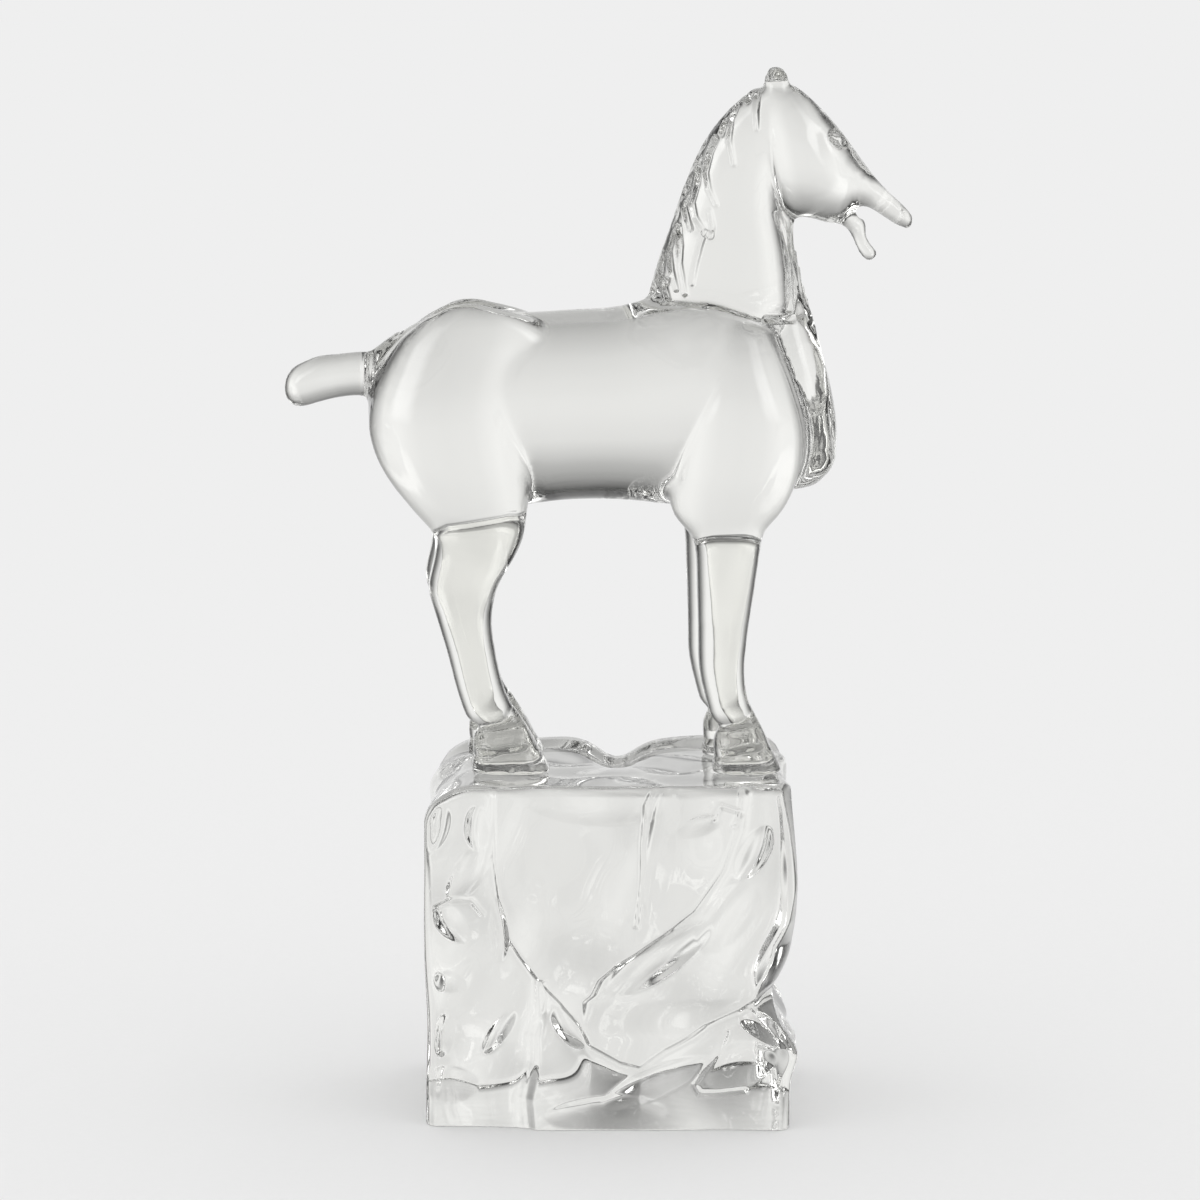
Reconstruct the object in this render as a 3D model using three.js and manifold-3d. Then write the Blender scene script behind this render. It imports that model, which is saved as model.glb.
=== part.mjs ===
// A clear cast horse in the manner of old Chinese tomb horses, standing on a rock-shaped plinth.
// Millimetres, +Z up. The horse faces +X, its near side is -Y, and the plinth stands on Z = 0.
import * as THREE from "three";
import { LoftGeometry } from "three/addons/geometries/LoftGeometry.js";
import { mergeVertices } from "three/addons/utils/BufferGeometryUtils.js";
import Module from "manifold-3d";

const wasm = await Module();
wasm.setup();

// Driving dimensions of the plinth
const ROCK_LEFT = -62;
const ROCK_RIGHT = 67.4;
const ROCK_DEPTH = 106;
const ROCK_CORNER = 9;
const SHIELD_TIP = { x: -9, z: 46 };
const BACK_LIP = 2.4;
const VALLEY_DEPTH = 6.5;
const FOOT_LEVEL = 0.01;

// Driving dimensions of the horse
const SOLE_Z = 123.4;
const GLUE_GAP = 0.3;
const ROCK_HEIGHT = SOLE_Z - GLUE_GAP;
const LEG_Y = 18.5;
const FAR_LEG_SHIFT = { hind: -2.5, fore: -3 };
const MANE_LOCKS = 8;
const LOCK_WIDTH = 4.2;
const LOCK_THICKNESS = 2;

// Fineness of the facets
const SIDES = { trunk: 18, limb: 12, head: 14, lock: 5 };
const STEPS_BETWEEN = { trunk: 2, limb: 2, head: 2, lock: 1 };
const DOME_RINGS = 2;

// Solids

function solidFrom(geometry) {
  const bare = new THREE.BufferGeometry();
  bare.setAttribute("position", geometry.getAttribute("position"));
  bare.setIndex(geometry.getIndex());
  const merged = mergeVertices(bare, 1e-3);
  return new wasm.Manifold(
    new wasm.Mesh({
      numProp: 3,
      vertProperties: merged.attributes.position.array,
      triVerts: new Uint32Array(merged.index.array),
    }),
  );
}

function geometryFrom(solid) {
  const mesh = solid.getMesh();
  const geometry = new THREE.BufferGeometry();
  geometry.setAttribute("position", new THREE.BufferAttribute(mesh.vertProperties, 3));
  geometry.setIndex(new THREE.BufferAttribute(mesh.triVerts, 1));
  geometry.computeVertexNormals();
  return geometry;
}

// A station is one cross-section of a limb, seen from the side: its upper or front edge a, its lower or
// back edge b, both [x, z], the half-width across, and the place y of its middle.
function station(a, b, half, y = 0) {
  return {
    middle: new THREE.Vector3((a[0] + b[0]) / 2, y, (a[1] + b[1]) / 2),
    reach: new THREE.Vector3((a[0] - b[0]) / 2, 0, (a[1] - b[1]) / 2),
    half: new THREE.Vector3(half, 0, 0),
  };
}

// Skins a limb through its stations, with a rounded end of the given length where one is asked for.
function limb(stations, { sides, steps, startDome = 0, endDome = 0 }) {
  const middles = new THREE.CatmullRomCurve3(stations.map((s) => s.middle));
  const reaches = new THREE.CatmullRomCurve3(stations.map((s) => s.reach));
  const halves = new THREE.CatmullRomCurve3(stations.map((s) => s.half));
  const across = new THREE.Vector3(0, 1, 0);
  const count = (stations.length - 1) * steps;
  const travel = stations.at(-1).middle.clone().sub(stations[0].middle);
  const turn = Math.sign(stations[0].reach.clone().cross(across).dot(travel)) || 1;

  const ring = (middle, reach, half) =>
    Array.from({ length: sides }, (_, i) => {
      const angle = (turn * 2 * Math.PI * i) / sides;
      return middle
        .clone()
        .addScaledVector(reach, Math.cos(angle))
        .addScaledVector(across, half * Math.sin(angle));
    });

  const dome = (t, length) =>
    Array.from({ length: DOME_RINGS }, (_, i) => {
      const angle = ((i + 1) / (DOME_RINGS + 0.35)) * (Math.PI / 2);
      const out = middles.getTangent(t).multiplyScalar(length * Math.sin(angle));
      const shrink = Math.cos(angle);
      return ring(
        middles.getPoint(t).add(out),
        reaches.getPoint(t).multiplyScalar(shrink),
        halves.getPoint(t).x * shrink,
      );
    });

  const rings = [];
  if (startDome > 0) rings.push(...dome(0, -startDome).reverse());
  for (let i = 0; i <= count; i++) {
    const t = i / count;
    rings.push(ring(middles.getPoint(t), reaches.getPoint(t), halves.getPoint(t).x));
  }
  if (endDome > 0) rings.push(...dome(1, endDome));
  return solidFrom(new LoftGeometry(rings, { capStart: true, capEnd: true }));
}

const join = (solids) => solids.reduce((whole, next) => whole.add(next));
const bothSides = (make) => [make(-1), make(1)];

// The horse's forms

function trunk() {
  return limb(
    [
      station([-79.5, 273.6], [-79.6, 235.2], 15),
      station([-66.5, 287.6], [-66.8, 218.4], 25),
      station([-48.5, 293.4], [-48.9, 212.4], 28.5),
      station([-29.7, 291.7], [-29.9, 216.4], 28),
      station([-9.9, 288.4], [-10, 219.2], 27.5),
      station([6.9, 288.8], [7, 219.2], 27.5),
      station([23.8, 292.5], [25.9, 216.9], 28),
      station([43.6, 289.5], [45.9, 215.4], 27.5),
      station([61.5, 281.6], [62.8, 219.4], 23),
      station([73.4, 270.8], [73.7, 229.3], 15),
    ],
    { sides: SIDES.trunk, steps: STEPS_BETWEEN.trunk, startDome: 3.5, endDome: 5 },
  );
}

function haunch(side) {
  const y = (distance) => side * distance;
  return limb(
    [
      station([-39.7, 282.6], [-63.4, 282.6], 7, y(12)),
      station([-31.8, 267.8], [-77.4, 267.8], 13, y(15)),
      station([-26.8, 250.1], [-82.3, 250.1], 15.5, y(16)),
      station([-24.9, 233.3], [-78.2, 233.3], 15, y(17)),
      station([-25.4, 219.4], [-68.3, 219.4], 13, y(18)),
      station([-27.4, 210.4], [-59.9, 209.4], 11, y(LEG_Y)),
    ],
    { sides: SIDES.limb, steps: STEPS_BETWEEN.limb, startDome: 3, endDome: 1.5 },
  );
}

function shoulder(side) {
  const y = (distance) => side * distance;
  return limb(
    [
      station([61.5, 277.7], [37.7, 279.7], 8, y(13)),
      station([69, 260], [30.8, 261.9], 13, y(16)),
      station([72.4, 243.2], [27, 244.2], 14.2, y(17)),
      station([70.6, 228.3], [25, 228.3], 13.5, y(18)),
      station([64.2, 215.9], [25.6, 215.9], 11.5, y(LEG_Y)),
      station([57.6, 206.9], [31.4, 206.9], 10, y(LEG_Y)),
    ],
    { sides: SIDES.limb, steps: STEPS_BETWEEN.limb, startDome: 3, endDome: 1.2 },
  );
}

function breast() {
  return limb(
    [
      station([70.2, 312], [57.4, 310], 9),
      station([75.8, 288.5], [57.5, 287.5], 14),
      station([81.2, 266.9], [57.6, 266.9], 16.5),
      station([84.8, 247.1], [57.7, 250.1], 17),
      station([84.2, 234.4], [57.7, 239.4], 14.5),
      station([77, 224.6], [57.7, 231], 10),
    ],
    { sides: SIDES.limb, steps: STEPS_BETWEEN.limb, startDome: 2, endDome: 2 },
  );
}

const NECK = [
  station([72.4, 270.8], [17.9, 276.7], 20),
  station([73.3, 294.4], [17.3, 293.4], 18.5),
  station([69.7, 314], [23.7, 311], 17.5),
  station([68.1, 331.5], [29.6, 330.5], 16),
  station([69.5, 345.1], [36, 345.6], 14.5),
  station([73.9, 353.9], [45.8, 357.8], 12.5),
  station([77.8, 358.2], [56.6, 366], 10.5),
];

function neck() {
  return limb(NECK, { sides: SIDES.head, steps: STEPS_BETWEEN.head, endDome: 1.5 });
}

function skull() {
  return limb(
    [
      station([61, 368.9], [57.2, 349], 9.5),
      station([69.4, 367.1], [61.7, 333.5], 12.2),
      station([78.3, 359.6], [70.7, 319], 13.2),
      station([86.8, 350.3], [82.5, 317], 12.2),
      station([94.2, 341], [89.4, 321.8], 9.6),
      station([100.4, 334], [95.8, 320.6], 8),
      station([106.6, 329], [102.3, 317.2], 7.2),
      station([111, 324.6], [108.4, 315], 5.6),
    ],
    { sides: SIDES.head, steps: STEPS_BETWEEN.head, startDome: 3, endDome: 2.4 },
  );
}

function lowerLip() {
  return limb(
    [
      station([85.4, 325.7], [79.1, 316.9], 8.6),
      station([90.5, 319.3], [85.6, 314.5], 7),
      station([94.1, 313.6], [90.3, 309.7], 5.6),
      station([97.8, 308.8], [94.2, 305.2], 4.8),
    ],
    { sides: SIDES.head, steps: STEPS_BETWEEN.head, endDome: 2.2 },
  );
}

function ear(side) {
  return limb(
    [
      station([67.4, 360.7], [56.1, 362.6], 4.4, side * 5),
      station([66.2, 367.9], [56.7, 368.2], 4, side * 5.5),
      station([63.7, 372.3], [58, 371.9], 2.6, side * 6),
    ],
    { sides: SIDES.lock, steps: STEPS_BETWEEN.lock, endDome: 1.3 },
  );
}

function tail() {
  return limb(
    [
      station([-73.4, 275.4], [-73.6, 250.1], 11),
      station([-82.9, 272.4], [-83, 255], 8.6),
      station([-92.8, 271.6], [-92.4, 256.1], 7.8),
      station([-101.4, 270.6], [-99.9, 254.4], 8),
      station([-108, 268], [-105.8, 252.8], 7.6),
    ],
    { sides: SIDES.limb, steps: STEPS_BETWEEN.limb, endDome: 6.6 },
  );
}

const HIND_LEG = {
  gaskin: [[-26, 213.1], [-58, 212.1], 10.2],
  shank: [[-30, 202.3], [-58, 202.3], 9.6],
  hock: [[-36.8, 190.7], [-60.8, 189.9], 9],
  under_hock: [[-39, 182], [-58.6, 182], 8.2],
  cannon: [[-37.4, 164.7], [-53.4, 164.7], 7.2],
  fetlock: [[-34, 151.4], [-50, 151.4], 7.4],
  pastern: [[-28.6, 140.7], [-45.2, 140.7], 8],
  coronet: [[-23.7, 133.9], [-44.6, 133.9], 9.4],
  sole: [[-16.9, SOLE_Z], [-46.3, SOLE_Z], 11],
};

const FORE_LEG = {
  forearm: [[57.4, 211.1], [34, 211.1], 9.8],
  above_knee: [[54.6, 191.4], [35, 191.4], 8.8],
  knee: [[52, 173.6], [35.6, 173.6], 8],
  cannon: [[50.9, 159.7], [36, 159.7], 7],
  fetlock: [[52, 149.8], [38.4, 149.8], 7.2],
  pastern: [[56.2, 142.4], [40.6, 142.4], 7.8],
  coronet: [[60.6, 133.5], [41, 133.5], 9.2],
  sole: [[65.4, SOLE_Z], [39.6, SOLE_Z], 10.6],
};

function leg(profile, farShift, side) {
  const shift = side > 0 ? farShift : 0;
  const moved = ([x, z]) => [x + shift, z];
  const stations = Object.values(profile).map(([front, back, half]) =>
    station(moved(front), moved(back), half, side * LEG_Y),
  );
  return limb(stations, { sides: SIDES.limb, steps: STEPS_BETWEEN.limb });
}

// The crest line of the neck, which the mane follows, from the withers to the poll.
const CREST = new THREE.CatmullRomCurve3(NECK.slice(1).map((s) => s.middle.clone().sub(s.reach)));

// Half-width of the neck at a point of its side view.
function neckHalfWidth(x, z) {
  const middles = new THREE.CatmullRomCurve3(NECK.map((s) => s.middle));
  const reaches = new THREE.CatmullRomCurve3(NECK.map((s) => s.reach));
  const halves = new THREE.CatmullRomCurve3(NECK.map((s) => s.half));
  const samples = 60;
  let best = { gap: Infinity, half: 0 };
  for (let i = 0; i <= samples; i++) {
    const t = i / samples;
    const reach = reaches.getPoint(t);
    const offset = new THREE.Vector3(x, 0, z).sub(middles.getPoint(t));
    const along = offset.dot(reach) / reach.lengthSq();
    const gap = offset.addScaledVector(reach, -along).length();
    if (gap < best.gap) {
      const round = Math.sqrt(Math.max(0, 1 - along * along));
      best = { gap, half: halves.getPoint(t).x * round };
    }
  }
  return best.half;
}

function maneCrest() {
  const rise = 2;
  const sink = 7;
  const along = [0, 0.2, 0.4, 0.6, 0.8, 0.97];
  return limb(
    along.map((t) => {
      const point = CREST.getPoint(t);
      const out = CREST.getTangent(t).cross(new THREE.Vector3(0, 1, 0)).normalize();
      const outer = point.clone().addScaledVector(out, rise);
      const inner = point.clone().addScaledVector(out, -sink);
      return station([outer.x, outer.z], [inner.x, inner.z], 5.5);
    }),
    { sides: SIDES.lock + 2, steps: STEPS_BETWEEN.limb, startDome: 2, endDome: 2 },
  );
}

// One hanging lock of the mane, a tapering tongue that lies on the side of the neck.
function maneLock(side, index) {
  const root = CREST.getPoint((index + 0.35) / MANE_LOCKS);
  const drop = 24 + 5 * Math.sin(index * 1.9);
  const forward = 9 + 1.5 * Math.cos(index * 2.3);
  const fractions = [0.02, 0.3, 0.62, 0.9];
  const fullness = [0.75, 1, 0.8, 0.3];
  const stations = fractions.map((f, i) => {
    const x = root.x + 1.5 + forward * f;
    const z = root.z - 1 - drop * f;
    const lie = Math.max(3.5, neckHalfWidth(x, z));
    const width = LOCK_WIDTH * fullness[i];
    const front = [x + width, z + 0.3 * width];
    const back = [x - width, z - 0.3 * width];
    return station(front, back, LOCK_THICKNESS, side * (lie - 0.4));
  });
  return limb(stations, { sides: SIDES.lock, steps: STEPS_BETWEEN.lock, endDome: 1.5 });
}

function horse() {
  const locks = Array.from({ length: MANE_LOCKS }, (_, i) => bothSides((side) => maneLock(side, i)));
  return join([
    trunk(),
    breast(),
    neck(),
    skull(),
    lowerLip(),
    tail(),
    maneCrest(),
    ...bothSides(haunch),
    ...bothSides(shoulder),
    ...bothSides(ear),
    ...bothSides((side) => leg(HIND_LEG, FAR_LEG_SHIFT.hind, side)),
    ...bothSides((side) => leg(FORE_LEG, FAR_LEG_SHIFT.fore, side)),
    ...locks.flat(),
  ]);
}

// The plinth's forms

const bell = (value, middle, spread) => Math.exp(-(((value - middle) / spread) ** 2));
const past = (value, edge) => Math.max(0, value - edge);
const { clamp, smoothstep } = THREE.MathUtils;

// A long hollow, turned by an angle from level, with its own length and width.
function hollow(x, z, angle, length, width) {
  const along = x * Math.cos(angle) + z * Math.sin(angle);
  const across = z * Math.cos(angle) - x * Math.sin(angle);
  return bell(along, 0, length) * bell(across, 0, width);
}

// The left and right outline of the shield-shaped facet on the front face, by height.
const shieldLeft = (z) => -37 + 26 * clamp((97 - z) / 50, 0, 1) ** 2.5;
function shieldRight(z) {
  const climb = clamp((z - SHIELD_TIP.z) / 72, 0, 1);
  return SHIELD_TIP.x + 57 * Math.sin((climb * Math.PI) / 2);
}

// How far the front face is cut back, by its place x and height z.
function frontCut(x, z) {
  const leftOfShield = past(shieldLeft(z), x);
  const rightOfShield = past(x, shieldRight(z));
  const underShield = past(SHIELD_TIP.z, z);
  const flute = hollow(x - 18, z - 60, 0.59, 24, 5);
  const drop = hollow(x - 53, z - 97, 1.4, 12, 6);
  const lens = hollow(x - 20, z - 19, 0.41, 20, 6);
  const slopes = 0.26 * leftOfShield + 0.2 * rightOfShield + 0.08 * underShield;
  const foot = 0.35 + 0.65 * smoothstep(z, 0, 26);
  return foot * (slopes + 3.5 * flute + 3 * drop + 2.5 * lens);
}

// How far each end bulges out or is notched, by height.
const rightBulge = (z) => 2.6 * bell(z, 86, 26) - 5.6 * bell(z, 44, 11) + 3.2 * bell(z, 27, 7);
const leftBulge = (z) => 0.5 * bell(z, 70, 40) - 0.8 * bell(z, 36, 16);

// How far the back face is cut, in two broad hollows.
const backCut = (x, z) => 4 * bell(x - 0.5 * z, -14, 14) + 3 * bell(x + 0.4 * z, 50, 12);

// How far the top rises towards the back edge, with a valley across the middle.
function topRise(x, y) {
  const lip = BACK_LIP * smoothstep(y, 32, 42);
  const valley = VALLEY_DEPTH * bell(x, 6, 9) * smoothstep(y, -20, 40);
  const leftShoulder = 0.55 * past(-50, x);
  return lip - valley - leftShoulder;
}

function rock() {
  const box = new THREE.BoxGeometry(ROCK_RIGHT - ROCK_LEFT, ROCK_DEPTH, ROCK_HEIGHT, 16, 11, 15);
  box.translate((ROCK_LEFT + ROCK_RIGHT) / 2, 0, ROCK_HEIGHT / 2);
  const points = box.getAttribute("position");
  const point = new THREE.Vector3();
  const inner = new THREE.Vector3();
  const outward = new THREE.Vector3();
  for (let i = 0; i < points.count; i++) {
    point.fromBufferAttribute(points, i);
    inner.set(
      clamp(point.x, ROCK_LEFT + ROCK_CORNER, ROCK_RIGHT - ROCK_CORNER),
      clamp(point.y, ROCK_CORNER - ROCK_DEPTH / 2, ROCK_DEPTH / 2 - ROCK_CORNER),
      Math.min(point.z, ROCK_HEIGHT - ROCK_CORNER),
    );
    outward.subVectors(point, inner);
    const reach = Math.max(Math.abs(outward.x), Math.abs(outward.y), outward.z);
    point.copy(inner).addScaledVector(outward.normalize(), reach);
    const { x, y, z } = point;
    if (z < FOOT_LEVEL) outward.set((2 * x) / (ROCK_RIGHT - ROCK_LEFT), (2 * y) / ROCK_DEPTH, 0);
    point.x += past(outward.x, 0) * rightBulge(z) - past(-outward.x, 0) * leftBulge(z);
    point.y += past(-outward.y, 0) * frontCut(x, z) - past(outward.y, 0) * backCut(x, z);
    point.z += past(outward.z, 0) * topRise(x, y);
    points.setXYZ(i, point.x, point.y, point.z);
  }
  return solidFrom(box);
}

// Assembly

const clearResin = new THREE.MeshStandardMaterial({
  name: "clear cast resin",
  color: 0xe9ebe8,
  roughness: 0.03,
  metalness: 0,
  transparent: true,
  opacity: 0.35,
});

function named(name, solid) {
  const mesh = new THREE.Mesh(geometryFrom(solid), clearResin);
  mesh.name = name;
  return mesh;
}

const sculpture = new THREE.Group();
sculpture.name = "clear_horse_on_rock";
sculpture.add(named("horse", horse()), named("rock_plinth", rock()));

export default sculpture;
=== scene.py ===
# %% [markdown]
# # A clear cast horse on a rock
# The object is a horse in clear cast resin that stands on a rock-shaped block of the same resin.
# The measured solids come from the frame. They hold the true outline and size, but they are coarse.
# Here both pieces are modelled again with the soft forms and crisp creases that clear resin shows.

# %% Open the frame
from math import cos, pi, radians, sin
import bpy
import numpy as np
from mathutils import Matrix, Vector


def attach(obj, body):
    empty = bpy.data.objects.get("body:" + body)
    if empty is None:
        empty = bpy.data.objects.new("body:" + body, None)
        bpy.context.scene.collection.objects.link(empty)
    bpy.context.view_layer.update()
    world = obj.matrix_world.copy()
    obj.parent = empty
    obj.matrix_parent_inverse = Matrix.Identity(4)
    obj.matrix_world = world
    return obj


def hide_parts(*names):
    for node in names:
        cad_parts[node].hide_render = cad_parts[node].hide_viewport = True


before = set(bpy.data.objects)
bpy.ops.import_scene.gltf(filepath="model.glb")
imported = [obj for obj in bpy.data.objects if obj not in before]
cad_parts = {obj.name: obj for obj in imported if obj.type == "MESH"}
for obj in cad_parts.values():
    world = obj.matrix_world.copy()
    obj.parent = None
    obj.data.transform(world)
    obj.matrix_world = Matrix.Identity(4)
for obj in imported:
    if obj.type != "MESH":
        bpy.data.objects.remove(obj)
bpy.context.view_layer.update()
MM = 0.001
print("frame holds", sorted(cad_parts))

# %% [markdown]
# ## How a limb is made
# A neck, a leg or a tail is a tube that swells and tapers. By hand one adds a cylinder, cuts it into
# rings with Subdivide and then scales and moves each ring. Here each ring gets a station: its front edge
# and its back edge as seen from the side, its half-width and its place across the horse.
# The rings in between lie on a smooth curve, so a few stations are enough for one limb.

# %% Stations and the rings between them
def station(front, back, half, y=0.0, square=2.0):
    return [front[0], front[1], back[0], back[1], half, y, square]


def smooth_rows(rows, steps):
    rows = np.array(rows, float)
    middle = (rows[:, 0:2] + rows[:, 2:4]) / 2
    gaps = np.linalg.norm(np.diff(middle, axis=0), axis=1) + 0.5
    knots = np.concatenate([[0.0], np.cumsum(gaps)])
    slopes = np.gradient(rows, knots, axis=0)
    out = [rows[0]]
    for i, gap in enumerate(gaps):
        for k in range(1, steps + 1):
            t = k / steps
            start = (1 + 2 * t) * (1 - t) ** 2 * rows[i] + t * (1 - t) ** 2 * gap * slopes[i]
            end = t * t * (3 - 2 * t) * rows[i + 1] + t * t * (t - 1) * gap * slopes[i + 1]
            out.append(start + end)
    return np.array(out)


def domed(rings, length, at_end):
    tip, before = (rings[-1], rings[-2]) if at_end else (rings[0], rings[1])
    middle = (tip[0:2] + tip[2:4]) / 2
    reach = (tip[0:2] - tip[2:4]) / 2
    outward = middle - (before[0:2] + before[2:4]) / 2
    outward /= np.linalg.norm(outward)
    cap = []
    for k in range(1, 6):
        turn = k / 5.25 * pi / 2
        centre = middle + outward * length * sin(turn)
        ring = tip.copy()
        ring[0:2] = centre + reach * cos(turn)
        ring[2:4] = centre - reach * cos(turn)
        ring[4] = tip[4] * cos(turn)
        cap.append(ring)
    return np.vstack([rings, cap]) if at_end else np.vstack([cap[::-1], rings])


# %% [markdown]
# ## From rings to a mesh
# The cylinder is added one unit tall, its upright edges are cut by Subdivide, and then every vertex goes
# to its place on its own ring. A squareness above 2 turns the oval into a slab with rounded edges.

# %% The limb tool
def only(piece):
    bpy.ops.object.select_all(action="DESELECT")
    piece.select_set(True)
    bpy.context.view_layer.objects.active = piece


def points_of(piece):
    flat = np.empty(len(piece.data.vertices) * 3)
    piece.data.vertices.foreach_get("co", flat)
    return flat.reshape(-1, 3)


def set_points(piece, points):
    piece.data.vertices.foreach_set("co", points.ravel())
    piece.data.update()


def limb(name, rows, sides=40, steps=7, start_dome=0.0, end_dome=0.0):
    rings = smooth_rows(rows, steps)
    if start_dome:
        rings = domed(rings, start_dome, False)
    if end_dome:
        rings = domed(rings, end_dome, True)
    bpy.ops.object.select_all(action="DESELECT")
    bpy.ops.mesh.primitive_cylinder_add(vertices=sides, radius=1, depth=1, location=(0, 0, 0))
    piece = bpy.context.object
    piece.name = name
    upright = [abs(piece.data.vertices[a].co.z - piece.data.vertices[b].co.z) > 0.5
               for a, b in (edge.vertices for edge in piece.data.edges)]
    bpy.ops.object.mode_set(mode="EDIT")
    bpy.ops.mesh.select_mode(type="EDGE")
    bpy.ops.mesh.select_all(action="DESELECT")
    bpy.ops.object.mode_set(mode="OBJECT")
    piece.data.edges.foreach_set("select", upright)
    bpy.ops.object.mode_set(mode="EDIT")
    bpy.ops.mesh.subdivide(number_cuts=len(rings) - 2)
    bpy.ops.object.mode_set(mode="OBJECT")
    points = points_of(piece)
    row = rings[np.rint((points[:, 2] + 0.5) * (len(rings) - 1)).astype(int)]
    angle = np.arctan2(points[:, 1], points[:, 0])
    along = np.sign(np.cos(angle)) * np.abs(np.cos(angle)) ** (2 / row[:, 6])
    across = np.sign(np.sin(angle)) * np.abs(np.sin(angle)) ** (2 / row[:, 6])
    points[:, 0] = (row[:, 0] + row[:, 2]) / 2 + along * (row[:, 0] - row[:, 2]) / 2
    points[:, 2] = (row[:, 1] + row[:, 3]) / 2 + along * (row[:, 1] - row[:, 3]) / 2
    points[:, 1] = row[:, 5] + across * row[:, 4]
    set_points(piece, points * MM)
    face_outward(piece)
    return piece


def face_outward(piece):
    only(piece)
    bpy.ops.object.mode_set(mode="EDIT")
    bpy.ops.mesh.select_all(action="SELECT")
    bpy.ops.mesh.normals_make_consistent(inside=False)
    bpy.ops.object.mode_set(mode="OBJECT")


# %% [markdown]
# ## Left and right, and melting together
# The horse is alike on both sides, so a limb is modelled on the near side and copied to the far side.
# In casting, the clay forms were pressed together and their seams smoothed. The Remesh modifier does
# the same: it wraps one skin around all forms, and the Smooth modifier then rounds the seams.

# %% Copy, join, remesh and smooth
def far_copy(piece, shift=0.0):
    only(piece)
    bpy.ops.object.duplicate()
    copy = bpy.context.object
    points = points_of(copy)
    points[:, 1] *= -1
    points[:, 0] += shift * MM
    set_points(copy, points)
    face_outward(copy)
    return copy


def joined(name, pieces):
    only(pieces[0])
    for piece in pieces:
        piece.select_set(True)
    bpy.ops.object.join()
    whole = bpy.context.object
    whole.name = name
    return whole


def apply_modifier(piece, kind, **settings):
    only(piece)
    modifier = piece.modifiers.new(kind.title(), kind)
    for key, value in settings.items():
        setattr(modifier, key, value)
    bpy.ops.object.modifier_apply(modifier=modifier.name)


def melt(piece, voxel, rounds):
    apply_modifier(piece, "REMESH", mode="VOXEL", voxel_size=voxel * MM)
    apply_modifier(piece, "SMOOTH", factor=0.5, iterations=rounds)
    print(piece.name, "has", len(piece.data.polygons), "faces")


# %% [markdown]
# ## The body and the legs
# The barrel is a plain round drum. The haunches and the shoulders swell out of it with very soft seams, and
# between the two haunches runs a furrow along the croup. The brisket fills the space between the fore legs.
# Each leg is a plain flattened column that grows out of its thigh. These forms are melted together first
# and smoothed long, because later creases must stay crisp. Long smoothing thins a leg, so the legs start
# a little stouter than they end. The far legs stand a little further back, so their copies are shifted.

# %% Barrel, haunches and shoulders
LEG_Y = 18.5

barrel = limb("barrel", [
    station((-79.5, 271.5), (-79.6, 235.2), 15),
    station((-66.5, 282.6), (-66.8, 219.4), 25),
    station((-48.5, 287.0), (-48.9, 214.0), 28.5),
    station((-29.7, 286.6), (-29.9, 216.8), 28),
    station((-9.9, 287.6), (-10.0, 219.2), 27.5),
    station((6.9, 288.8), (7.0, 219.2), 27.5),
    station((23.8, 293.6), (25.9, 217.4), 28),
    station((36.0, 296.0), (37.0, 217.0), 28),
    station((47.0, 294.0), (48.0, 218.0), 26.5),
    station((58.5, 287.5), (59.0, 222.0), 22),
    station((66.5, 276.0), (66.5, 230.0), 14),
], sides=56, start_dome=3.5, end_dome=4)

haunch = limb("haunch", [
    station((-41.0, 290.0), (-54.0, 289.2), 4.2, -13.5),
    station((-27.0, 286.6), (-62.0, 285.4), 7.6, -13.6),
    station((-18.0, 281.0), (-69.0, 279.6), 9.8, -13.9),
    station((-19.5, 271.0), (-75.0, 270.5), 11.8, -14.5),
    station((-23.0, 260.0), (-80.0, 260.0), 14.0, -15.3),
    station((-25.0, 248.0), (-82.5, 248.0), 15.6, -16),
    station((-24.6, 233.3), (-78.4, 233.3), 15.2, -17),
    station((-25.2, 219.4), (-68.5, 219.4), 13.2, -18),
    station((-26.9, 212.6), (-59.6, 209.4), 10.9, -LEG_Y),
], start_dome=1.8, end_dome=2.2)

shoulder = limb("shoulder", [
    station((60.5, 279.5), (36.5, 281.5), 8, -13),
    station((68.2, 260.0), (30.2, 261.9), 13.2, -16),
    station((72.4, 244.2), (26.6, 244.2), 14.6, -17),
    station((70.4, 228.3), (24.8, 228.3), 13.8, -18),
    station((64.2, 215.9), (25.6, 215.9), 11.8, -LEG_Y),
    station((57.4, 208.8), (31.8, 208.8), 10.0, -LEG_Y),
], start_dome=3, end_dome=2.4)

brisket = limb("brisket", [
    station((31.0, 234.0), (31.0, 215.0), 12),
    station((37.0, 230.0), (37.0, 208.6), 13),
    station((44.0, 230.0), (44.5, 208.0), 13),
    station((52.0, 230.0), (52.0, 208.2), 13),
    station((60.0, 230.0), (60.0, 212.0), 11),
], start_dome=2, end_dome=2)
print("body forms:", barrel.name, haunch.name, shoulder.name, brisket.name)


# %% Legs
def stouter(rows, extra):
    rows = np.array(rows, float)
    reach = rows[:, 0:2] - rows[:, 2:4]
    reach *= extra / np.linalg.norm(reach, axis=1, keepdims=True)
    rows[:, 0:2] += reach
    rows[:, 2:4] -= reach
    rows[:, 4] += extra
    return rows


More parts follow.
